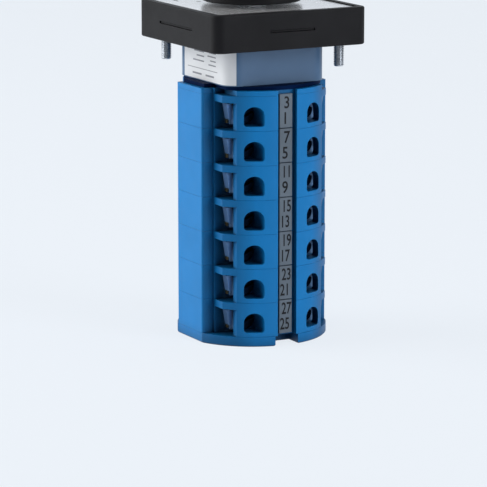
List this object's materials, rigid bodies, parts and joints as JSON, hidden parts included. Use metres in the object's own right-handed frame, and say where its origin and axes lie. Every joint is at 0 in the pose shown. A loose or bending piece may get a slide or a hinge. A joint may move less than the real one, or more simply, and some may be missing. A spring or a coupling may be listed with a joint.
{
  "type": "rotary switch",
  "caption": "Panel-mounted rotary cam switch: square bezel and dial with a turning knob in front, a stack of blue contact stages with screw terminals behind.",
  "frame": {"origin": "centre of the bezel's rear face, which seats on the panel, on the spindle's axis", "axes": "+Z along the spindle out of the panel towards the knob; -Y and +Y are the numbered terminal sides; -X and +X are the flat sides, with the label on -X; the dial's 0 mark is at +Y"},
  "size_m": [0.048, 0.048, 0.1155],
  "materials": {
    "black_plastic": "fine matt moulded plastic",
    "dial_metal": "satin silver face",
    "slate_plastic": "smooth slate blue moulding",
    "label_film": "white satin film",
    "dark_plastic": "dark moulding",
    "blue_plastic": "smooth blue moulding, semi-matt",
    "tag_plastic": "grey moulded tags",
    "nylon": "natural nylon",
    "zinc_steel": "zinc plated",
    "dark_steel": "dark passivated steel",
    "spring_steel": "drawn wire",
    "contact_brass": "stamped brass with contact buttons"
  },
  "bodies": {
    "switch_body": {"bezel": "black_plastic", "bezel_base": "black_plastic", "dial_plate": "dial_metal", "panel_screws": "zinc_steel", "base_screws": "zinc_steel", "detent_housing": "slate_plastic", "rating_label": "label_film", "spacer_plate": "dark_plastic", "front_cover": "blue_plastic", "detent_spring_left": "spring_steel", "detent_spring_right": "spring_steel", "end_cap": "blue_plastic", "tie_screws": "zinc_steel", "tie_nuts": "zinc_steel", "number_tags_front": "tag_plastic", "number_tags_back": "tag_plastic", "terminal_screws": "dark_steel", "terminal_clamps": "zinc_steel", "contact_springs_left": "spring_steel", "contact_springs_right": "spring_steel", "stage_housing_1": "blue_plastic", "fixed_contacts_1": "contact_brass", "stage_housing_2": "blue_plastic", "fixed_contacts_2": "contact_brass", "stage_housing_3": "blue_plastic", "fixed_contacts_3": "contact_brass", "stage_housing_4": "blue_plastic", "fixed_contacts_4": "contact_brass", "stage_housing_5": "blue_plastic", "fixed_contacts_5": "contact_brass", "stage_housing_6": "blue_plastic", "fixed_contacts_6": "contact_brass", "stage_housing_7": "blue_plastic", "fixed_contacts_7": "contact_brass"},
    "rotor": {"knob": "black_plastic", "knob_cap": "black_plastic", "knob_screw": "zinc_steel", "shaft": "zinc_steel", "detent_wheel": "nylon", "cam_1": "nylon", "cam_2": "nylon", "cam_3": "nylon", "cam_4": "nylon", "cam_5": "nylon", "cam_6": "nylon", "cam_7": "nylon"},
    "left_contacts": {"contact_plungers_left": "nylon", "contact_bridges_left": "contact_brass"},
    "right_contacts": {"contact_plungers_right": "nylon", "contact_bridges_right": "contact_brass"},
    "left_detent": {"detent_plunger_left": "nylon"},
    "right_detent": {"detent_plunger_right": "nylon"}
  },
  "joints": [
    {"name": "knob_turn", "type": "hinge", "parent": "switch_body", "child": "rotor", "pos_m": [0, 0, 0], "axis": [0, 0, 1], "range_deg": [-45, 45]},
    {"name": "left_contact_slide", "type": "slide", "parent": "switch_body", "child": "left_contacts", "axis": [1, 0, 0], "range_m": [-0.00102, 0.00102], "deforming": ["contact_springs_left"]},
    {"name": "right_contact_slide", "type": "slide", "parent": "switch_body", "child": "right_contacts", "axis": [1, 0, 0], "range_m": [-0.00102, 0.00102], "deforming": ["contact_springs_right"]},
    {"name": "left_detent_slide", "type": "slide", "parent": "switch_body", "child": "left_detent", "axis": [1, 0, 0], "range_m": [0, 0.001], "stiffness_N_per_m": 800, "deforming": ["detent_spring_left"]},
    {"name": "right_detent_slide", "type": "slide", "parent": "switch_body", "child": "right_detent", "axis": [-1, 0, 0], "range_m": [0, 0.001], "stiffness_N_per_m": 800, "deforming": ["detent_spring_right"]}
  ],
  "couplings": [
    {"joint": "left_contact_slide", "follows": "knob_turn", "m_per_rad": 0.0012732},
    {"joint": "right_contact_slide", "follows": "knob_turn", "m_per_rad": 0.0012732},
    {"joint": "right_detent_slide", "follows": "left_detent_slide", "ratio": 1}
  ]
}
